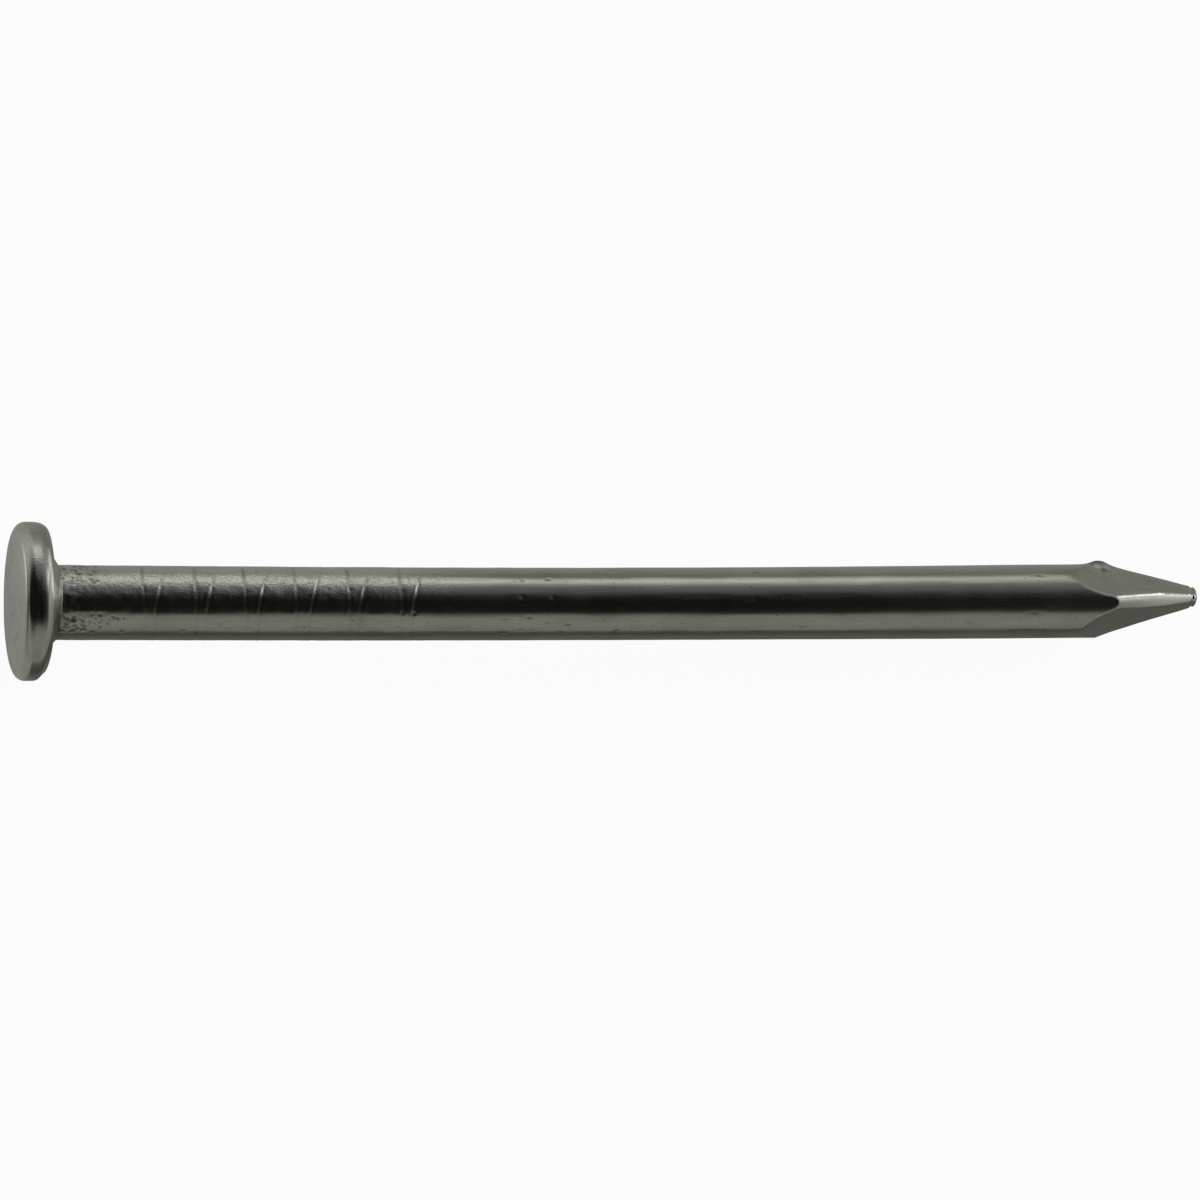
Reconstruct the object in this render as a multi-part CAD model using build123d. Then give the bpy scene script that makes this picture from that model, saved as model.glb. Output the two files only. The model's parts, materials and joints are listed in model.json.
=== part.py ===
from build123d import *
import os
from math import cos, radians, sin

# Round wire nail, lying along X: head at -X, point at +X. Millimetres.
# The origin is the centre of the head's underside, the plane from which a nail's length is measured.
# It is one length of drawn wire: a punch upset one end into the head, cutters pinched the other to a point.

# Driving dimensions
shank_diameter = 3.1
nail_length = 50.0              # underside of the head to the blunt tip
head_diameter = 6.76
head_thickness = 1.2
face_edge_radius = 0.45         # rounded rim beside the striking face
seat_edge_radius = 0.28         # rounded rim beside the underside
neck_diameter = 4.2             # foot of the neck, on the underside
neck_length = 0.62
neck_bulge_radius = 1.0         # the neck swells between its foot and the shank

mark_depth = 0.07               # grip marks from the two halves of the heading die
mark_width = 0.28
mark_pitch = 2.21
mark_arc = 150.0                # degrees of the shank that one die half marks
marks_per_half = 6

flats_turn = 34.0               # degrees of each flat from facing straight to the side, making a diamond
shoulder_start = 44.75          # the four flats of the point first touch the shank here
shoulder_length = 2.3           # their first, slightly steeper stretch
shoulder_flats = 1.97           # across the flats where the shoulder ends
shoulder_blend = 12.0           # radius between shoulder and taper
tip_flats = 0.64                # across the flats at the blunt tip
tip_offset = 0.15               # the cutters met a little to the +Y side of the axis
ridge_radius = 0.25             # the flats meet in round ridges above and below, sharp ones at the sides
tip_round = 0.12

burr_start = 45.05              # flash squeezed out where the cutters met, on the +Y side
burr_length = 1.3
burr_height = 0.14
burr_thickness = 0.36

shank_radius = shank_diameter / 2
head_radius = head_diameter / 2
neck_radius = neck_diameter / 2

# For each die half: angle from +Y towards +Z of the middle of its marks, and the place of its first mark
die_halves = (
    (0.0, 4.1),
    (135.0, 4.7),
)


def blank():
    """Head, neck and plain shank, turned about the X axis."""
    face_x = -head_thickness
    face = Line((face_x, 0), (face_x, head_radius - face_edge_radius))
    face_edge = RadiusArc(face @ 1, (face_x + face_edge_radius, head_radius), face_edge_radius)
    rim = Line(face_edge @ 1, (-seat_edge_radius, head_radius))
    seat_edge = RadiusArc(rim @ 1, (0, head_radius - seat_edge_radius), seat_edge_radius)
    seat = Line(seat_edge @ 1, (0, neck_radius))
    neck = RadiusArc(seat @ 1, (neck_length, shank_radius), neck_bulge_radius)
    shank = Polyline(neck @ 1, (nail_length, shank_radius), (nail_length, 0), face @ 0)
    return revolve(make_face([face, face_edge, rim, seat_edge, seat, neck, shank]), Axis.X)


def mark_cutter(x, angle):
    """A V ring set off the axis, so that its groove is deepest at one angle and fades out to both sides."""
    off_axis = mark_depth / (1 - cos(radians(mark_arc / 2)))
    root = shank_radius - mark_depth + off_axis
    brim = root + 2 * mark_depth
    section = Polyline((x, root), (x - mark_width, brim), (x + mark_width, brim), close=True)
    ring = revolve(make_face(section), Axis.X)
    return Pos(0, -off_axis * cos(radians(angle)), -off_axis * sin(radians(angle))) * ring


def mark_cutters():
    """The grip marks of both die halves, at one pitch, the second set between the first."""
    return [
        mark_cutter(first + i * mark_pitch, angle)
        for angle, first in die_halves
        for i in range(marks_per_half)
    ]


def flats_outline():
    """Outline across one pair of flats: wide over head and shank, then shoulder, blend and taper."""
    clear = head_diameter
    start_x = shoulder_start - shoulder_length * (clear - shank_radius) / (shank_radius - shoulder_flats / 2)
    centre = tip_offset * cos(radians(flats_turn))
    half_tip = tip_flats / 2
    bend_x = shoulder_start + shoulder_length
    outline = make_face(Polyline(
        (start_x, clear),
        (bend_x, shoulder_flats / 2),
        (nail_length, centre + half_tip),
        (nail_length, centre - half_tip),
        (bend_x, -shoulder_flats / 2),
        (start_x, -clear),
        (-clear, -clear),
        (-clear, clear),
        close=True,
    ))
    bends = outline.vertices().filter_by_position(Axis.X, shoulder_start, nail_length, (False, False))
    return fillet(bends, shoulder_blend)


def point_envelope():
    """What the cutters leave: two pairs of flats, turned opposite ways from the side."""
    pair = extrude(flats_outline(), head_diameter, both=True)
    envelope = Rot(X=flats_turn) * pair & Rot(X=-flats_turn) * pair
    ridges = [
        edge for edge in envelope.edges()
        if edge.center().X > shoulder_start and edge.length > shoulder_length
        and abs(edge.center().Z) > abs(edge.center().Y)
    ]
    return fillet(ridges, ridge_radius)


def blunt_tip(shape):
    """The blunt end, its edge rounded over."""
    end = shape.faces().sort_by(Axis.X)[-1]
    return fillet(end.edges(), tip_round)


def burr():
    """Thin flash standing off the +Y ridge at the shoulder."""
    foot = shank_radius / 2
    crest = ThreePointArc(
        (burr_start, shank_radius),
        (burr_start + burr_length / 2, shank_radius + burr_height),
        (burr_start + burr_length, shank_radius - burr_height),
    )
    back = Polyline(crest @ 1, (burr_start + burr_length, foot), (burr_start, foot), crest @ 0)
    return extrude(make_face([crest, back]), burr_thickness / 2, both=True)


def nail():
    """The whole nail, one solid."""
    shape = blunt_tip(blank() & point_envelope())
    return shape - mark_cutters() + burr()


os.makedirs("parts", exist_ok=True)
export_step(nail(), "parts/nail.step")
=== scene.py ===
import json
import math
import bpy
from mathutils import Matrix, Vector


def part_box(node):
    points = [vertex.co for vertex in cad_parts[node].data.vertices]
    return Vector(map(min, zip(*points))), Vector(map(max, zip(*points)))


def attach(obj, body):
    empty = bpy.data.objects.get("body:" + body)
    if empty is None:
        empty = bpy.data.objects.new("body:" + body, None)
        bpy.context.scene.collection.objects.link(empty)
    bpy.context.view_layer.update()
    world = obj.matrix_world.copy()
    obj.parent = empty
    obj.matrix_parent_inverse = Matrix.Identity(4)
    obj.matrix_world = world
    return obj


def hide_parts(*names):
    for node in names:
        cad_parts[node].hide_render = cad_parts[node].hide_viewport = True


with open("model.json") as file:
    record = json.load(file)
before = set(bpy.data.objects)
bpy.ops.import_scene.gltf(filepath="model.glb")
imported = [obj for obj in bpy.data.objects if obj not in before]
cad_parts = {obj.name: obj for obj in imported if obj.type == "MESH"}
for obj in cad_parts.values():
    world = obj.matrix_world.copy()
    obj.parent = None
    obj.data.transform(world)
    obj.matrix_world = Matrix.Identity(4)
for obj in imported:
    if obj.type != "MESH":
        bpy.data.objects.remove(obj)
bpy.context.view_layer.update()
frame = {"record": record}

from types import SimpleNamespace

import bpy
import numpy as np
from mathutils import Matrix, Vector

# A bright wire nail lying along X, head at -X, point at +X, seen almost straight down.
# The nail's surface is worked out in millimetres about its own axis, then written in metres.
# Angles about the axis run from +Y (up in the picture) towards +Z (towards the camera).

MM = 0.001

# ---- Sizes from the frame, in millimetres ----
mounts = {mount["name"]: mount for mount in frame["record"]["mounts"]}
nail_low, nail_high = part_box("nail")
FACE_X = nail_low.x / MM
TIP_X = nail_high.x / MM
HEAD_RADIUS = (nail_high.y - nail_low.y) / 2 / MM
SHANK_RADIUS = mounts["shank"]["dims"]["r_mm"]

# ---- Shape, in millimetres ----
FACE_EDGE = 0.45            # rounding between the striking face and the rim
SEAT_EDGE = (0.55, 0.28)    # rounding between the rim and the underside: along X, then inwards
NECK_FOOT = 2.06            # radius of the neck on the underside
NECK_LENGTH = 0.54
NECK_POWER = 1.3            # 1 would make the neck a straight cone, 2 a quarter of an ellipse
NECK_LONGER = 0.09          # the neck reaches this much further on its +Y side
NECK_SHORTER = 0.04         # and this much less far on its -Y side

# The head is a little out of true. A lean is X gained for each millimetre along the axis it names.
FACE_LEAN = (0.003, -0.014)     # the striking face, along Y and along Z
SEAT_LEAN = 0.030               # the underside, along +Y
HEAD_SHIFT = 0.045              # the whole head is this far off the axis, towards +Y
SEAT_WORN = 0.13                # the underside's edge is worn in this much on the -Y side

BOW = 0.1                   # the shank sags this much towards -Y between the head and BOW_END
BOW_END = 46
GRIPPED_SWELLING = 0.0345   # share of the radius gained where the wire was gripped below the head
GRIPPED_END = 24            # which has faded out here
CUT_SWELLING = 0.021        # share of the radius gained where the wire was cut
PLAIN_THINNING = 0.0055     # share of the radius lost everywhere

POINT_START = 44.6          # the four flats first touch the shank here
POINT_BEND = 47.17          # their slope is a little steeper before the bend
SIDE_AT_BEND = 1.152        # from the axis to the sharp ridges at +Y and -Y, where the slope bends
SIDE_SLOPE = 0.27           # what that loses in a millimetre towards the tip
SIDE_CURVE = 0.02           # and what it gains with the square of the distance before the bend
HOLLOW_END = 45.77          # the two flats on the +Y side start with a hollow that ends here
HOLLOW_SLOPE = 0.17         # how much steeper they are in it
UPPER_FLAT = (45.0, 40.2)   # degrees from +Y that the flats on that side face: at the shoulder, then beyond
LOWER_FLAT = 33.2           # degrees from -Y that the flats on that side face
TIP_SHIFT = 0.16            # the cutters met this far to the +Y side of the axis
RIDGE_ROUND = 0.43          # rounding of the ridges at +Z and -Z
RIDGE_SHARE = 0.52          # which is at most this share of the distance to the sharp ridges
TIP_ROUND = 0.17
EDGE_BLEND = 0.04           # shank and flats blend where their radii differ by less than half this

BURR_X = 45.72
BURR_HEIGHT = 0.14
FOLD_X = 45.92              # a small fold beside the burr
FOLD_DEPTH = 0.02

MARK_PITCH = 2.21           # from one grip mark of a die half to its next
MARKS = 6                   # from each half

# Heights of the unevenness on each area
DRAWN_LINES = 0.0025        # the drawn wire
LUMPS = 0.004               # everywhere
ROUGH_NECK = 0.010          # below the head
RIM_WAVES = 0.012
GRIPPED_WAVES = 0.007       # where the dies gripped the wire
STRUCK_GRAIN = 0.003        # on its strip where the highlight falls
SHEARED_WAVES = 0.007       # the flats
SHEARED_GRAIN = 0.002
TIP_GROOVE = 0.06           # depth of a groove round the point
TIP_GROOVE_BACK = 0.23      # and how far it is from the tip

# Degrees from +Y towards +Z
HIGHLIGHT_TURN = 48            # middle of the strip along the rim and the gripped wire where the highlight falls, painted lighter: a painted highlight
SEAT_SHADE_TURN = 54             # middle of a spot on the rim's seat edge painted darker where its highlight falls: painted shade
RIDGE_TURNS = (68, 76, 110, 118)    # the round ridges fade in over the first two and out over the last two

SEGMENTS = 144              # corners of each ring
rng = np.random.default_rng(7)


def smooth(low, high, value):
    """0 below low, 1 above high, and a smooth step between."""
    t = np.clip((value - low) / (high - low), 0, 1)
    return t * t * (3 - 2 * t)


def bell(value):
    return np.exp(-value * value)


def turn_from(angle, centre):
    """Signed difference between two angles in degrees, from -180 to 180."""
    return (angle - centre + 180) % 360 - 180


def value_noise(u, v, around=None):
    """Smooth noise from -1 to 1 with cells of size 1. With around, v repeats after that many cells."""
    u = u - u.min()
    v = v - v.min()
    columns = around or int(v.max()) + 2
    lattice = rng.uniform(-1, 1, (int(u.max()) + 2, columns))
    u_cell, v_cell = np.floor(u).astype(int), np.floor(v).astype(int)
    u_part, v_part = u - u_cell, v - v_cell
    u_part = u_part * u_part * (3 - 2 * u_part)
    v_part = v_part * v_part * (3 - 2 * v_part)
    near, far = v_cell % columns, (v_cell + 1) % columns
    low = lattice[u_cell, near] * (1 - v_part) + lattice[u_cell, far] * v_part
    high = lattice[u_cell + 1, near] * (1 - v_part) + lattice[u_cell + 1, far] * v_part
    return low * (1 - u_part) + high * u_part


# ---- Rings of the turned surface: x, radius and a closing factor, from the face's middle to the tip's ----

def ring_rows(x, r, closing=1.0):
    return np.column_stack(np.broadcast_arrays(x, r, closing))


def arc(centre_x, centre_r, reach_x, reach_r, start, end, count):
    angle = np.radians(np.linspace(start, end, count))
    return ring_rows(centre_x + reach_x * np.cos(angle), centre_r + reach_r * np.sin(angle))


def across(x, r_from, r_to, count):
    return ring_rows(x, np.linspace(r_from, r_to, count))


def along(x_from, x_to, step, r):
    return ring_rows(np.linspace(x_from, x_to, round((x_to - x_from) / step), endpoint=False), r)


def neck_rings(count):
    """A swelling neck from its foot on the underside down to the shank."""
    x = NECK_LENGTH * np.sin(np.linspace(0, math.pi / 2, count)) ** 2
    drop = (1 - (x / NECK_LENGTH) ** NECK_POWER) ** (1 / NECK_POWER)
    return ring_rows(x, SHANK_RADIUS + (NECK_FOOT - SHANK_RADIUS) * drop)


def tip_rings():
    """The rounded edge of the blunt tip, then its end closing to the middle."""
    angle = np.linspace(0, math.pi / 2, 6)
    edge_x = TIP_X - TIP_ROUND * (1 - np.sin(angle))
    edge_closing = 1 - 0.45 * (1 - np.cos(angle))
    closing = np.linspace(edge_closing[-1], 0.1, 6)[1:]
    return np.vstack([
        ring_rows(edge_x, SHANK_RADIUS, edge_closing),
        ring_rows(TIP_X, SHANK_RADIUS, closing),
    ])


def ring_table():
    face_rim = HEAD_RADIUS - FACE_EDGE
    seat_reach, seat_drop = SEAT_EDGE
    seat_rim = HEAD_RADIUS - seat_drop
    return np.vstack([
        across(FACE_X, 0.06, face_rim - 0.05, 34),
        arc(FACE_X + FACE_EDGE, face_rim, FACE_EDGE, FACE_EDGE, 180, 90, 17),
        along(FACE_X + FACE_EDGE + 0.05, -seat_reach, 0.05, HEAD_RADIUS),
        arc(-seat_reach, seat_rim, seat_reach, seat_drop, 90, 0, 17),
        across(0, seat_rim - 0.08, NECK_FOOT + 0.08, 9),
        neck_rings(16),
        along(NECK_LENGTH + 0.05, 4.0, 0.085, SHANK_RADIUS),
        along(4.0, 17.2, 0.053, SHANK_RADIUS),
        along(17.2, 19.6, 0.2, SHANK_RADIUS),
        along(19.6, 24.8, 0.075, SHANK_RADIUS),
        along(24.8, POINT_START, 0.28, SHANK_RADIUS),
        along(POINT_START, TIP_X - TIP_ROUND, 0.045, SHANK_RADIUS),
        tip_rings(),
    ])


# ---- Surface detail: heights over the turned surface, and dirt ----

def swelling(x):
    """Radius gained: a little where the wire was gripped below the head, and where it was cut."""
    gripped = GRIPPED_SWELLING * np.clip(1 - x / GRIPPED_END, 0, 1) ** 1.3
    return SHANK_RADIUS * (gripped + CUT_SWELLING * smooth(30, POINT_START, x) - PLAIN_THINNING)


def flats_radius(x, angle):
    """Radius of a bar of diamond section, sharp ridges to +Y and -Y, round ridges to +Z and -Z."""
    side = SIDE_AT_BEND - SIDE_SLOPE * (x - POINT_BEND) + SIDE_CURVE * np.maximum(POINT_BEND - x, 0) ** 2
    upper_side = side + HOLLOW_SLOPE * np.maximum(HOLLOW_END - x, 0)
    at_shoulder, along_point = UPPER_FLAT
    past_shoulder = smooth(POINT_START - 0.1, POINT_START + 1.8, x)
    upper = np.radians(at_shoulder + (along_point - at_shoulder) * past_shoulder)
    lower = math.radians(180 - LOWER_FLAT)
    upper_reach, lower_reach = upper_side * np.cos(upper), -side * math.cos(lower)

    # Centre of the round ridge, at the rounding's distance inside both flats
    rounding = np.minimum(RIDGE_ROUND, side * RIDGE_SHARE)
    upper_in, lower_in = upper_reach - rounding, lower_reach - rounding
    spread = np.sin(lower - upper)
    ridge_y = (upper_in * np.sin(lower) - lower_in * np.sin(upper)) / spread
    ridge_z = (lower_in * np.cos(upper) - upper_in * np.cos(lower)) / spread

    turn = np.radians(np.abs(turn_from(angle, 0)))
    upper_flat = upper_reach / np.maximum(np.cos(turn - upper), 0.05)
    lower_flat = lower_reach / np.maximum(np.cos(turn - lower), 0.05)
    ahead = ridge_y * np.cos(turn) + ridge_z * np.sin(turn)
    beside = ridge_y * np.sin(turn) - ridge_z * np.cos(turn)
    ridge = ahead + np.sqrt(np.maximum(rounding ** 2 - beside ** 2, 0))
    first = np.arctan2(ridge_z + rounding * np.sin(upper), ridge_y + rounding * np.cos(upper))
    last = np.arctan2(ridge_z + rounding * np.sin(lower), ridge_y + rounding * np.cos(lower))
    return np.where((turn > first) & (turn < last), ridge, np.minimum(upper_flat, lower_flat))


def grip_marks(x, angle):
    """Two series of shallow marks from the halves of the gripping die, each with a raised lip.

    Returns the height, and how deep in a mark each point is, from 0 to about 1.
    """
    turn = np.radians(angle)
    y, z = SHANK_RADIUS * np.cos(turn), SHANK_RADIUS * np.sin(turn)
    height = np.zeros(np.broadcast(x, angle).shape)
    groove = np.zeros_like(height)
    series = (
        # first mark, lean with y and with z, middle and half width of its arc, depth
        (4.12, -0.02, 0.0, 45.0, 28.0, 0.015),
        (5.19, 0.19, -0.335, 60.0, 17.0, 0.030),
    )
    for first, lean_y, lean_z, middle, half, depth in series:
        off = np.abs(turn_from(angle, middle))
        strength = 1 - smooth(half - 12, half + 5, off) * 0.75
        strength = strength * (1 - smooth(130, 160, off))
        for i in range(MARKS):
            place = first + i * MARK_PITCH + rng.uniform(-0.08, 0.08)
            wobble = 0.03 * value_noise(np.zeros_like(angle), angle / 30, 12)
            offset = x - (place + lean_y * y + lean_z * z + wobble)
            patchy = 0.75 + 0.35 * value_noise(np.zeros_like(angle), angle / 15, 24)
            force = depth * rng.uniform(0.7, 1.15) * strength * patchy
            width = rng.uniform(0.055, 0.085)
            height += force * (0.45 * bell((offset + 2 * width) / width) - bell(offset / width))
            groove += force / depth * bell(offset / width)
    return height, groove


def pit_field(x, angle, places, length, width, depth):
    """Small pits at (x, angle) places, drawn out along the nail where length is more than width."""
    height = np.zeros(np.broadcast(x, angle).shape)
    for place, at in places:
        scale = rng.uniform(0.6, 1.4)
        rows = np.abs(x[:, 0] - place) < 3 * length * scale
        along_x = (x[rows] - place) / (length * scale)
        around = np.radians(turn_from(angle[rows], at)) * SHANK_RADIUS / (width * rng.uniform(0.7, 1.2))
        height[rows] -= depth * scale * bell(np.hypot(along_x, around))
    return height


def scatter(count, x_range, angle_range):
    return np.column_stack([rng.uniform(*x_range, count), rng.uniform(*angle_range, count)])


def pits(x, angle):
    """Rough metal below the neck, small rust pits further down, and a few anywhere."""
    chain = np.linspace((1.3, 133), (3.3, 112), 9) + rng.normal(0, 1, (9, 2)) * (0.06, 2)
    rough_neck = np.vstack([
        scatter(48, (0.6, 1.6), (110, 142)),
        scatter(14, (1.4, 3.4), (108, 142)),
        chain,
        scatter(44, (0.6, 2.2), (12, 60)),
        scatter(30, (0.7, 3.0), (190, 340)),
    ])
    drawn_out = np.vstack([
        scatter(13, (19.2, 25.0), (113, 146)),
        scatter(8, (20.0, 24.5), (230, 300)),
    ])
    scattered = scatter(90, (4.0, 44.0), (0, 360))
    return (
        pit_field(x, angle, rough_neck, 0.045, 0.045, 0.036)
        + pit_field(x, angle, drawn_out, 0.12, 0.05, 0.02)
        + pit_field(x, angle, scattered, 0.07, 0.05, 0.016)
    )


def blotches(x, angle):
    """Dark patches, from 0 to 1, at the ends of the grip marks and on the drawn wire."""
    mark_ends = scatter(3 * MARKS, (-0.14, 0.14), (66, 76))
    mark_ends[:, 0] += 4.3 + MARK_PITCH * np.repeat(np.arange(MARKS), 3)
    elsewhere = scatter(14, (4.0, 40.0), (104, 150))
    dark = pit_field(x, angle, mark_ends, 0.11, 0.07, 1.0) + pit_field(x, angle, elsewhere, 0.10, 0.05, 0.5)
    return np.clip(-dark, 0, 1)


def burr(x, angle):
    """Flash pinched out at the +Y ridge where the flats begin, with a small fold beside it.

    Returns the height, and how far in the fold each point is, from 0 to 1.
    """
    around = np.radians(turn_from(angle, 0)) * SHANK_RADIUS
    lip = bell((x - BURR_X) / 0.42) * bell(around / 0.24)
    fold = bell((x - FOLD_X) / 0.17) * bell((around - 0.38) / 0.13)
    return BURR_HEIGHT * lip * (1 + 0.12 * value_noise(x * 3, angle / 12)) - FOLD_DEPTH * fold, fold


def across_face(radius, angle):
    """Place on the striking face, as y and z."""
    turn = np.radians(angle)
    return radius * np.cos(turn), radius * np.sin(turn)


def face_wear(radius, angle):
    """Dirt on the striking face: a broken ring, short scratches and specks."""
    y, z = across_face(radius, angle)
    ring = bell((np.hypot(y - 0.1, z + 0.2) - 1.75 - 0.06 * value_noise(y, z)) / 0.055)
    wear = 0.5 * ring * np.clip(0.3 + value_noise(y * 1.2, z * 1.2), 0, 1)
    for _ in range(9):
        middle_y, middle_z, heading = rng.uniform(-2, 2), rng.uniform(-2, 2), rng.uniform(0, math.pi)
        along_it = (y - middle_y) * math.cos(heading) + (z - middle_z) * math.sin(heading)
        off_it = (z - middle_z) * math.cos(heading) - (y - middle_y) * math.sin(heading)
        wear += 0.7 * bell(along_it / rng.uniform(0.15, 0.5)) * bell(off_it / 0.045)
    for _ in range(22):
        speck_y, speck_z = rng.uniform(-2.6, 2.6), rng.uniform(-2.6, 2.6)
        wear += rng.uniform(0.4, 0.9) * bell(np.hypot(y - speck_y, z - speck_z) / rng.uniform(0.05, 0.10))
    return wear + 0.2 * np.clip(value_noise(y * 1.7, z * 1.7), 0, 1)


def face_detail(radius, angle):
    """Height on the striking face: slightly dished inside a ring as wide as the wire, with small dents."""
    y, z = across_face(radius, angle)
    dish = -0.02 * (1 - smooth(1.25, 1.75, radius + 0.12 * value_noise(y * 0.8, z * 0.8)))
    waves = 0.006 * value_noise(y * 1.3, z * 1.3) + 0.0025 * value_noise(y * 4, z * 4)
    dents = np.zeros_like(y)
    for _ in range(16):
        reach, at = 2.7 * math.sqrt(rng.uniform()), rng.uniform(0, 2 * math.pi)
        spread = rng.uniform(0.05, 0.14)
        away = np.hypot(y - reach * math.cos(at), z - reach * math.sin(at))
        dents -= rng.uniform(0.004, 0.012) * bell(away / spread)
    return dish + waves + dents


# ---- The nail's surface ----

def surface_grid():
    """Each point of each ring before any detail: its place, its outward direction and its areas."""
    table = ring_table()
    x, radius, closing = (table[:, i:i + 1] for i in range(3))
    angle = np.linspace(0, 360, SEGMENTS, endpoint=False)[None, :] + 0 * x
    x, radius, closing = x + 0 * angle, radius + 0 * angle, closing + 0 * angle
    step_x, step_r = np.gradient(x[:, 0]), np.gradient((radius * closing)[:, 0])
    step = np.hypot(step_x, step_r)
    first_neck = int(np.argmax(x[:, 0] > 0))
    on_shank = (np.arange(len(table))[:, None] >= first_neck) + 0 * angle
    on_face = 1 - smooth(HEAD_RADIUS - FACE_EDGE, HEAD_RADIUS - 0.1, radius)
    on_face = on_face * (x < FACE_X + 0.2)
    return SimpleNamespace(
        x=x, radius=radius, closing=closing, angle=angle, turn=np.radians(angle),
        out_x=(-step_r / step)[:, None],
        out_r=(step_x / step)[:, None],
        run=np.cumsum(step)[:, None] + 0 * angle,
        on_shank=on_shank, on_face=on_face, on_rim=(1 - on_shank) * (1 - on_face),
    )


def body_section(grid):
    """Radius of the body without detail, the y it is measured from, and how far each point is on a flat."""
    centre = TIP_SHIFT * np.clip((grid.x - POINT_START) / (TIP_X - POINT_START), 0, 1) ** 0.6
    turned = grid.radius + swelling(np.maximum(grid.x, 0)) * grid.on_shank
    turned = -centre * np.cos(grid.turn) + np.sqrt(turned ** 2 - (centre * np.sin(grid.turn)) ** 2)
    flats = np.where(grid.x > POINT_START - 1, flats_radius(grid.x, grid.angle), HEAD_RADIUS * 2)
    on_flats = np.clip(0.5 + (turned - flats) / EDGE_BLEND, 0, 1)
    body = turned + (flats - turned) * on_flats - 0.01 * on_flats * (1 - on_flats)
    return body, centre, on_flats


def ripple(grid, per_mm, around):
    """Noise over the surface, with this many cells per millimetre along it and this many around it."""
    return value_noise(grid.run * per_mm, grid.angle / 360 * around, around)


def relief(grid, on_flats):
    """Height of all detail over the plain body, and what the material needs to know about it."""
    x, angle = grid.x, grid.angle
    marks, grooves = grip_marks(x, angle)
    pitted = pits(x, angle)
    drawn = DRAWN_LINES * ripple(grid, 0.5, 60) * grid.on_shank
    lumpy = LUMPS * ripple(grid, 1.1, 9)
    rough_neck = ROUGH_NECK * ripple(grid, 7, 60) * bell((x - 0.7) / 1.1) * grid.on_shank
    gripped = (1 - smooth(13, 20, x)) * grid.on_shank
    off_seat_edge = 1 - smooth(-SEAT_EDGE[0], -0.3, x)
    hammered = np.maximum(gripped, 0.7 * grid.on_rim * off_seat_edge)
    # The strip where the highlight falls on the rim and the gripped wire: the material paints it lighter, a
    # painted highlight.
    highlight_strip = hammered * bell(turn_from(angle, HIGHLIGHT_TURN) / 24)
    uneven = GRIPPED_WAVES * ripple(grid, 2.6, 30) * gripped * (0.5 + 0.5 * highlight_strip)
    uneven += STRUCK_GRAIN * ripple(grid, 9, 72) * highlight_strip
    sheared = SHEARED_WAVES * ripple(grid, 1.6, 12)
    sheared += SHEARED_GRAIN * ripple(grid, 14, 16)
    tip_groove = -TIP_GROOVE * bell((x - (TIP_X - TIP_GROOVE_BACK)) / 0.05)
    rim = grid.on_rim * RIM_WAVES * ripple(grid, 2.2, 14)

    plain = grid.on_shank * (1 - on_flats)
    height = (marks + pitted + drawn + rough_neck + uneven) * plain + lumpy + rim
    lip, fold = burr(x, angle)
    height = height + sheared * on_flats + tip_groove + lip * grid.on_shank
    height = height + grid.on_face * face_detail(grid.radius, angle)
    height = height * smooth(0, 0.6, grid.closing - 0.4)

    grime = np.clip(grooves * 0.55 * plain, 0, 1) + np.clip(-pitted * 42 * plain, 0, 1)
    # Darker just below the head, and in the fold beside the burr.
    grime = grime + 0.55 * bell((x - 0.35) / 0.35) * grid.on_shank + fold
    grime = grime + 0.75 * blotches(x, angle) * plain + grid.on_face * face_wear(grid.radius, angle)
    side_turn = np.abs(turn_from(angle, 0))
    on_ridge = smooth(*RIDGE_TURNS[:2], side_turn) * (1 - smooth(*RIDGE_TURNS[2:], side_turn))
    # The round ridges are painted lighter, a painted highlight, and made smoother; both fade in towards the
    # tip.
    on_ridge = on_ridge * smooth(45.5, 50, x)
    # Painted shade: a spot of the rim's seat edge made darker where its highlight falls.
    shaded_seat_edge = 0.5 * grid.on_rim * (1 - off_seat_edge) * bell(turn_from(angle, SEAT_SHADE_TURN) / 9)
    masks = {
        "grime": np.clip(grime, 0, 1),
        "cut": on_flats * grid.on_shank,
        "stamped": grid.on_face,
        # Painted highlight: lighter steel along the highlight strip.
        "highlight_strip": highlight_strip * (1 - on_flats),
        # The burr and that spot of the seat edge: rougher, and painted darker to dim their highlights, a
        # painted shade.
        "rough_and_shaded": np.maximum(np.clip(lip / 0.10, 0, 1) * grid.on_shank, shaded_seat_edge),
        # Round ridges of the point: painted lighter, a painted highlight, and smoother.
        "ridge": on_flats * grid.on_shank * on_ridge,
    }
    return height, masks


def nail_surface():
    """Points of every ring, in millimetres, and what the material needs to know at each of them."""
    grid = surface_grid()
    body, centre, on_flats = body_section(grid)
    height, masks = relief(grid, on_flats)

    up, down = np.maximum(np.cos(grid.turn), 0), np.maximum(-np.cos(grid.turn), 0)
    neck_reach = (NECK_LONGER * up - NECK_SHORTER * down) * bell((grid.x - 0.4) / 0.25) * grid.on_shank
    px = grid.x + height * grid.out_x + neck_reach
    worn = SEAT_WORN * bell((grid.x + 0.08) / 0.16) * down ** 2 * (1 - grid.on_shank)
    reach = (body - worn + height * grid.out_r * (grid.closing > 0.99)) * grid.closing
    py, pz = centre + reach * np.cos(grid.turn), reach * np.sin(grid.turn)

    at_head = 1 - smooth(0, NECK_LENGTH, grid.x)
    at_seat = smooth(FACE_X + FACE_EDGE, -0.2, px) * at_head
    out_of_square = FACE_LEAN[0] * py + FACE_LEAN[1] * pz
    px = px + out_of_square * (at_head - at_seat) + SEAT_LEAN * np.maximum(py, 0) * at_seat
    py = py + HEAD_SHIFT * at_head - BOW * np.sin(math.pi * np.clip(grid.x / BOW_END, 0, 1))
    return np.stack([px, py, pz], axis=-1), masks


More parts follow.
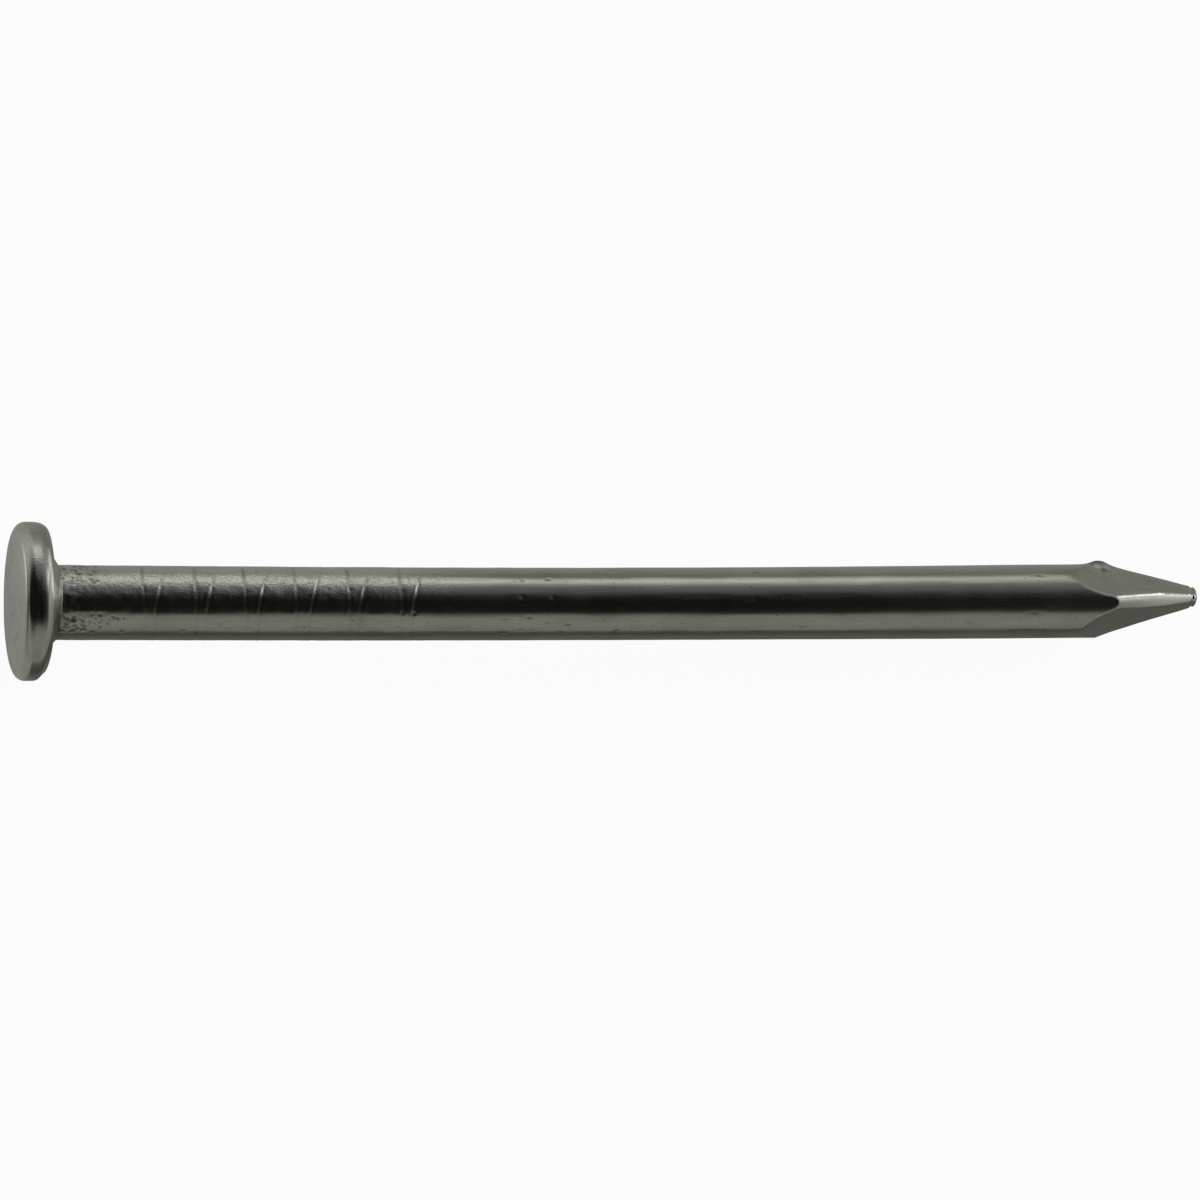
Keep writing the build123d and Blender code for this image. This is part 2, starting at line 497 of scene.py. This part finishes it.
def ring_mesh(name, points, masks):
    """A closed mesh through the rings, with a fan at each end."""
    rings, segments = points.shape[:2]
    start, end = points[0].mean(axis=0), points[-1].mean(axis=0)
    corners = np.vstack([points.reshape(-1, 3), start, end]) * MM
    index = np.arange(rings * segments).reshape(rings, segments)
    beside = np.roll(index, -1, axis=1)
    quads = np.stack([index[:-1], beside[:-1], beside[1:], index[1:]], axis=-1).reshape(-1, 4)
    first_fan = [(rings * segments, b, a) for a, b in zip(index[0], beside[0])]
    last_fan = [(rings * segments + 1, a, b) for a, b in zip(index[-1], beside[-1])]
    mesh = bpy.data.meshes.new(name)
    mesh.from_pydata(corners.tolist(), [], quads.tolist() + first_fan + last_fan)
    mesh.polygons.foreach_set("use_smooth", np.ones(len(mesh.polygons), bool))
    for mask_name, values in masks.items():
        padded = np.concatenate([values.ravel(), [values[0].mean(), values[-1].mean()]])
        attribute = mesh.attributes.new(mask_name, "FLOAT", "POINT")
        attribute.data.foreach_set("value", padded.astype(np.float32))
    mesh.update()
    nail = bpy.data.objects.new(name, mesh)
    bpy.context.scene.collection.objects.link(nail)
    return nail


# ---- Materials ----

def add(tree, kind, inputs=None, **settings):
    """A node with its settings, and its inputs set to values or linked to sockets."""
    made = tree.nodes.new(kind)
    for key, value in settings.items():
        setattr(made, key, value)
    for key, value in (inputs or {}).items():
        if isinstance(value, bpy.types.NodeSocket):
            tree.links.new(value, made.inputs[key])
        else:
            made.inputs[key].default_value = value
    return made


def math_node(tree, operation, first, second=0.0, third=0.0):
    return add(tree, "ShaderNodeMath", {0: first, 1: second, 2: third}, operation=operation).outputs[0]


def between(tree, value, low, high, out_low, out_high):
    """Maps value from low..high to out_low..out_high, held at both ends."""
    made = add(tree, "ShaderNodeMapRange", {
        "Value": value, "From Min": low, "From Max": high, "To Min": out_low, "To Max": out_high,
    })
    return made.outputs["Result"]


def mix_colour(tree, share, first, second):
    made = add(tree, "ShaderNodeMix", {0: share, 6: first, 7: second}, data_type="RGBA")
    return made.outputs[2]


def mix_level(tree, share, first, second):
    return add(tree, "ShaderNodeMix", {0: share, 2: first, 3: second}).outputs[0]


def mask(tree, name):
    return add(tree, "ShaderNodeAttribute", attribute_name=name).outputs["Fac"]


def noise(tree, place, stretch, detail=2.0, roughness=0.5):
    """Noise with cells per millimetre along each axis given by stretch."""
    scaled = add(tree, "ShaderNodeMapping", {"Vector": place, "Scale": [s / MM for s in stretch]})
    made = add(tree, "ShaderNodeTexNoise", {
        "Vector": scaled.outputs[0], "Scale": 1.0, "Detail": detail, "Roughness": roughness,
    })
    return made.outputs["Fac"]


# Reflected colour of the bare steel, of what is on it, and of the painted highlight and painted shade
BRIGHT = (0.60, 0.61, 0.515, 1)
DULL = (0.53, 0.54, 0.45, 1)
STREAKED = (0.40, 0.40, 0.36, 1)
# Painted highlight: lighter steel where the highlight falls on the rim, the gripped wire and the point's
# round ridges.
PAINTED_HIGHLIGHT = (0.88, 0.89, 0.78, 1)
# Painted shade: darker steel on the burr and a spot of the seat edge, where their highlights fall.
PAINTED_SHADE = (0.22, 0.22, 0.21, 1)
STAINED = (0.42, 0.33, 0.22, 1)
DIRTY = (0.075, 0.07, 0.055, 1)
STAMPED = (0.60, 0.63, 0.57, 1)


def steel_colour(tree, textures, masks, dirt):
    """Bright and dull steel with drawn streaks, a painted highlight on the highlight strip and round
    ridges, painted shade on the ragged burr and the seat edge, stains and dirt.
    """
    steel = mix_colour(tree, between(tree, textures.cloud, 0.35, 0.65, 0, 1), BRIGHT, DULL)
    steel = mix_colour(tree, between(tree, textures.drawn_lines, 0.35, 0.7, 0, 0.22), steel, STREAKED)
    # Painted highlight on the highlight strip and the round ridges.
    steel = mix_colour(tree, math_node(tree, "MAXIMUM", masks["highlight_strip"], masks["ridge"]), steel, PAINTED_HIGHLIGHT)
    # Painted shade on the burr and a spot of the seat edge.
    steel = mix_colour(tree, math_node(tree, "MULTIPLY", masks["rough_and_shaded"], 0.75), steel, PAINTED_SHADE)
    stained = math_node(tree, "MULTIPLY", between(tree, textures.cloud, 0.60, 0.72, 0, 1),
                        between(tree, textures.grain, 0.4, 0.6, 0.1, 0.5))
    steel = mix_colour(tree, stained, steel, STAINED)
    steel = mix_colour(tree, dirt, steel, DIRTY)
    return mix_colour(tree, math_node(tree, "MULTIPLY", masks["stamped"], 0.6), steel, STAMPED)


def steel_roughness(tree, textures, masks, dirt, place):
    """Smooth on the drawn wire and the round ridges, rougher elsewhere and towards the point."""
    roughness = between(tree, textures.fine_lines, 0.3, 0.7, 0.12, 0.17)
    roughness = math_node(tree, "MULTIPLY_ADD", dirt, 0.3, roughness)
    for name, more in (("cut", 0.06), ("stamped", 0.18), ("rough_and_shaded", 0.4)):
        roughness = math_node(tree, "MULTIPLY_ADD", masks[name], more, roughness)
    down_the_wire = add(tree, "ShaderNodeSeparateXYZ", {0: place}).outputs["X"]
    towards_point = between(tree, down_the_wire, 30 * MM, 42 * MM, 0, 0.05)
    roughness = math_node(tree, "ADD", roughness, towards_point)
    return math_node(tree, "MULTIPLY_ADD", masks["ridge"], -0.12, roughness)


def steel_bumps(tree, textures, masks):
    """Lines on what was neither cut nor stamped, fine grain everywhere, and flecks on the strip where the
    highlight falls.
    """
    on_drawn = math_node(tree, "SUBTRACT", 1.0, math_node(tree, "MAXIMUM", masks["cut"], masks["stamped"]))
    both_lines = math_node(tree, "ADD", textures.drawn_lines, textures.fine_lines)
    lines = math_node(tree, "MULTIPLY", both_lines, on_drawn)
    flecks = math_node(tree, "MULTIPLY", textures.flecks, masks["highlight_strip"])
    normal = None
    for height, depth in ((lines, 0.0006), (textures.grain, 0.0012), (flecks, 0.023)):
        inputs = {"Height": height, "Strength": 1.0, "Distance": depth * MM}
        if normal is not None:
            inputs["Normal"] = normal
        normal = add(tree, "ShaderNodeBump", inputs).outputs[0]
    return normal


def steel_material():
    material = bpy.data.materials.new("bright_steel")
    material.use_nodes = True
    tree = material.node_tree
    tree.nodes.clear()
    place = add(tree, "ShaderNodeTexCoord").outputs["Object"]
    masks = {name: mask(tree, name) for name in ("grime", "cut", "stamped", "highlight_strip", "rough_and_shaded", "ridge")}
    textures = SimpleNamespace(
        drawn_lines=noise(tree, place, (0.5, 26, 26), detail=3),
        fine_lines=noise(tree, place, (1.5, 60, 60), detail=2),
        cloud=noise(tree, place, (0.35, 1.1, 1.1), detail=3),
        grain=noise(tree, place, (14, 16, 16), detail=3, roughness=0.6),
        flecks=noise(tree, place, (7, 10, 10), detail=3, roughness=0.6),
    )
    specks = between(tree, noise(tree, place, (9, 12, 12), detail=1), 0.70, 0.76, 0, 0.7)
    dirt = math_node(tree, "MAXIMUM", math_node(tree, "MULTIPLY", masks["grime"], 0.85), specks)
    shader = add(tree, "ShaderNodeBsdfPrincipled", {
        "Base Color": steel_colour(tree, textures, masks, dirt),
        "Metallic": 1.0,
        "Roughness": steel_roughness(tree, textures, masks, dirt, place),
        "Normal": steel_bumps(tree, textures, masks),
    })
    output = add(tree, "ShaderNodeOutputMaterial")
    tree.links.new(shader.outputs[0], output.inputs["Surface"])
    return material


# ---- Studio: pale floor, soft light, camera ----

# Brightness of the studio round the nail's axis: angle from straight up (0) towards +Y (plus), and level.

# What edges that lean a little towards the point reflect: nothing brighter than the sides
BEFORE_POINT = (
    (-180, 0.14), (-98, 0.28), (-58, 0.27), (-43, 0.22), (-29, 0.06), (-15, 0.02), (11, 0.02),
    (24, 0.10), (38, 0.18), (53, 0.28), (90, 0.29), (180, 0.28),
)
# What the round ridges of the point reflect: a bright window on the +Y side
POINT_SIDE = (
    (-180, 0.24), (-60, 0.28), (-30, 0.36), (0, 0.46), (38, 0.58), (56, 0.80), (66, 2.3), (84, 2.3),
    (95, 0.40), (180, 0.28),
)
# Each table holds for directions with the given share along the nail, from the head (-) to the point (+)
STUDIO = (
    (-0.25, (
        (-180, 0.28), (-76, 0.29), (-65, 0.28), (-54, 0.21), (-41, 0.10), (-30, 0.01), (36, 0.01),
        (50, 0.03), (62, 0.14), (73, 0.26), (90, 0.33), (180, 0.30),
    )),
    (0.19, (
        (-180, 0.10), (-95, 0.17), (-86, 0.23), (-70, 0.27), (-42, 0.26), (-36, 0.17), (-31, 0.035),
        (-26, 0.007), (26, 0.006), (32, 0.045), (38, 0.10), (50, 0.13), (57, 0.19), (63, 0.36),
        (71, 0.72), (78, 0.90), (84, 0.66), (90, 0.40), (98, 0.29), (180, 0.25),
    )),
    (0.28, BEFORE_POINT),
    (0.42, BEFORE_POINT),
    (0.57, (
        (-180, 0.20), (-88, 0.28), (-47, 0.33), (-31, 0.20), (10, 0.20), (24, 0.70), (33, 1.5),
        (44, 1.3), (57, 0.45), (76, 0.30), (95, 0.28), (180, 0.24),
    )),
    (0.61, POINT_SIDE),
    (0.66, POINT_SIDE),
    (0.74, (
        (-180, 0.24), (-60, 0.28), (-30, 0.35), (0, 0.40), (38, 0.60), (60, 0.8), (80, 0.8),
        (95, 0.40), (180, 0.28),
    )),
    (0.84, (
        (-180, 0.24), (-65, 0.29), (-41, 0.27), (-20, 0.34), (0, 0.38), (15, 0.50), (34, 1.3),
        (56, 1.0), (84, 0.5), (123, 0.40), (180, 0.4),
    )),
)
NEUTRAL = (1, 1, 0.98)      # tint of the studio
BLUE = (0.98, 1.0, 1.10)    # and of the angles between these two
BLUE_FROM, BLUE_TO = 30, 60
PALE = 0.975                # what the camera sees of the background, to match the floor


def light_round(tree, about_axis, levels):
    """Brightness by angle about the nail's axis, from a table of angles in degrees and levels."""
    ramp = add(tree, "ShaderNodeValToRGB", {"Fac": about_axis})
    stops = ramp.color_ramp.elements
    while len(stops) < len(levels):
        stops.new(0.5)
    for stop, (angle, level) in zip(stops, levels):
        tint = BLUE if BLUE_FROM < angle < BLUE_TO else NEUTRAL
        stop.position = angle / 360 + 0.5
        stop.color = (*(level * share for share in tint), 1)
    return ramp.outputs["Color"]


def studio_world():
    """Light from the STUDIO tables, and a plain pale background for the camera."""
    world = bpy.data.worlds.new("studio")
    world.use_nodes = True
    tree = world.node_tree
    tree.nodes.clear()
    towards = add(tree, "ShaderNodeTexCoord").outputs["Generated"]
    parts = add(tree, "ShaderNodeSeparateXYZ", {0: towards})
    about_axis = math_node(tree, "ARCTAN2", parts.outputs["Y"], parts.outputs["Z"])
    about_axis = math_node(tree, "MULTIPLY_ADD", about_axis, 1 / (2 * math.pi), 0.5)
    before, levels = STUDIO[0]
    light = light_round(tree, about_axis, levels)
    for along_nail, levels in STUDIO[1:]:
        share = between(tree, parts.outputs["X"], before, along_nail, 0, 1)
        light = mix_colour(tree, share, light, light_round(tree, about_axis, levels))
        before = along_nail
    seen = add(tree, "ShaderNodeLightPath").outputs["Is Camera Ray"]
    shown = mix_colour(tree, seen, light, (PALE, PALE, PALE, 1))
    background = add(tree, "ShaderNodeBackground", {"Color": shown, "Strength": 1.0})
    output = add(tree, "ShaderNodeOutputWorld")
    tree.links.new(background.outputs[0], output.inputs["Surface"])
    bpy.context.scene.world = world


def floor_reflected(tree):
    """Brightness of the floor as the steel reflects it.

    Beside the nail it is brighter on the +Y side, and darker near the nail on the -Y side: a painted shadow
    of the nail. Before the striking face lies a painted pool of light of its own.
    """
    place = add(tree, "ShaderNodeSeparateXYZ", {0: add(tree, "ShaderNodeNewGeometry").outputs["Position"]})

    def by(axis, low, high, at_low, at_high):
        return between(tree, place.outputs[axis], low * MM, high * MM, at_low, at_high)

    # Painted shadow of the nail: on the -Y side the floor is darker near the nail than further off.
    low_side = math_node(tree, "ADD", by("Y", -60, -12, 0.28, 0.085), by("Y", -9, -5, 0, 0.05))
    high_side = by("Y", 2, 12, 0.315, 0.22)
    beside = mix_level(tree, by("Y", -1, 1, 0, 1), low_side, high_side)

    # Painted light and shade on the floor before the striking face: an even pool close to it, then a bright
    # spot just to the +Y side of the nail's line, and further off darker in line with the nail than to its
    # sides.
    distant = math_node(tree, "ADD", by("Y", 3, 10, 0.03, 0.38), by("Y", -3, -16, 0, 0.25))
    spot = math_node(tree, "MULTIPLY", by("Y", 0.2, 1.2, 0.32, 0.9), by("Y", 2.8, 5, 1, 0.4))
    beyond = mix_level(tree, by("X", -15, -10, 0, 1), distant, spot)
    pool = mix_level(tree, by("X", -3.3, -5, 0, 1), 0.32, beyond)
    return mix_level(tree, by("X", 0.5, -1.5, 0, 1), beside, pool)


def floor_material():
    """A pale floor with a faint shadow for the camera, and floor_reflected for the steel."""
    material = bpy.data.materials.new("pale_floor")
    material.use_nodes = True
    tree = material.node_tree
    tree.nodes.clear()
    lit = add(tree, "ShaderNodeBsdfDiffuse", {"Color": (0.82, 0.82, 0.80, 1)})
    glow = add(tree, "ShaderNodeEmission", {"Color": (1, 1, 1, 1), "Strength": 1.25})
    pale = add(tree, "ShaderNodeMixShader", {0: 0.25, 1: glow.outputs[0], 2: lit.outputs[0]})
    reflected = floor_reflected(tree)
    mirrored = add(tree, "ShaderNodeEmission", {"Color": (1, 1, 0.97, 1), "Strength": reflected})
    seen = add(tree, "ShaderNodeLightPath").outputs["Is Camera Ray"]
    both = add(tree, "ShaderNodeMixShader", {0: seen, 1: mirrored.outputs[0], 2: pale.outputs[0]})
    output = add(tree, "ShaderNodeOutputMaterial")
    tree.links.new(both.outputs[0], output.inputs["Surface"])
    return material


def resting_line(points):
    """Slope along X, and height, of the floor on which the head's rim and the point both rest."""
    x, z = points[..., 0].ravel(), points[..., 2].ravel()
    slope = 0.0
    for _ in range(4):
        lift = z - slope * x
        head = np.argmin(np.where(x < NECK_LENGTH, lift, np.inf))
        tip = np.argmin(np.where(x > POINT_START, lift, np.inf))
        slope = (z[tip] - z[head]) / (x[tip] - x[head])
    return slope, z[head] - slope * x[head]


FLOOR_RADIUS = 120          # mm
FLOOR_CORNERS = 64


def make_floor(points):
    slope, height = resting_line(points)
    middle = Vector((TIP_X / 2, 0, slope * TIP_X / 2 + height)) * MM
    turns = [2 * math.pi * i / FLOOR_CORNERS for i in range(FLOOR_CORNERS)]
    corners = [Vector((math.cos(turn), math.sin(turn), 0)) * FLOOR_RADIUS * MM for turn in turns]
    mesh = bpy.data.meshes.new("floor")
    mesh.from_pydata(corners, [], [range(FLOOR_CORNERS)])
    mesh.materials.append(floor_material())
    floor = bpy.data.objects.new("floor", mesh)
    floor.matrix_world = Matrix.Translation(middle) @ Matrix.Rotation(-math.atan(slope), 4, "Y")
    bpy.context.scene.collection.objects.link(floor)


CAMERA_DISTANCE = 1200      # mm from the nail's middle
CAMERA_YAW = 11.15          # degrees off square, towards the head, so that the striking face shows
CAMERA_ROLL = -0.086        # degrees
VIEW_WIDTH = 51.03          # mm across the picture at the nail
VIEW_MIDDLE = (24.067, 0.067)   # what is at the picture's middle, as x and y in mm
SENSOR = 36.0               # mm


def make_camera():
    """A long lens that looks down on the nail from a little towards its head."""
    yaw, roll = math.radians(CAMERA_YAW), math.radians(CAMERA_ROLL)
    back = Vector((-math.sin(yaw), 0, math.cos(yaw)))
    right = Vector((math.cos(yaw), 0, math.sin(yaw)))
    turned = Matrix.Rotation(roll, 3, back)
    right, up = turned @ right, turned @ Vector((0, 1, 0))
    target = Vector((VIEW_MIDDLE[0], VIEW_MIDDLE[1], 0)) * MM
    place = Matrix((right, up, back)).transposed().to_4x4()
    place.translation = target + back * CAMERA_DISTANCE * MM
    data = bpy.data.cameras.new("camera")
    data.sensor_width = SENSOR
    data.lens = SENSOR * CAMERA_DISTANCE / VIEW_WIDTH
    data.clip_start, data.clip_end = 0.1, 10
    camera = bpy.data.objects.new("camera", data)
    camera.matrix_world = place
    bpy.context.scene.collection.objects.link(camera)
    bpy.context.scene.camera = camera


points, masks = nail_surface()
nail = ring_mesh("wire_nail", points, masks)
nail.data.materials.append(steel_material())
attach(nail, "root")
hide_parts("nail")

studio_world()
make_floor(points)
make_camera()
bpy.context.scene.view_settings.view_transform = "Standard"
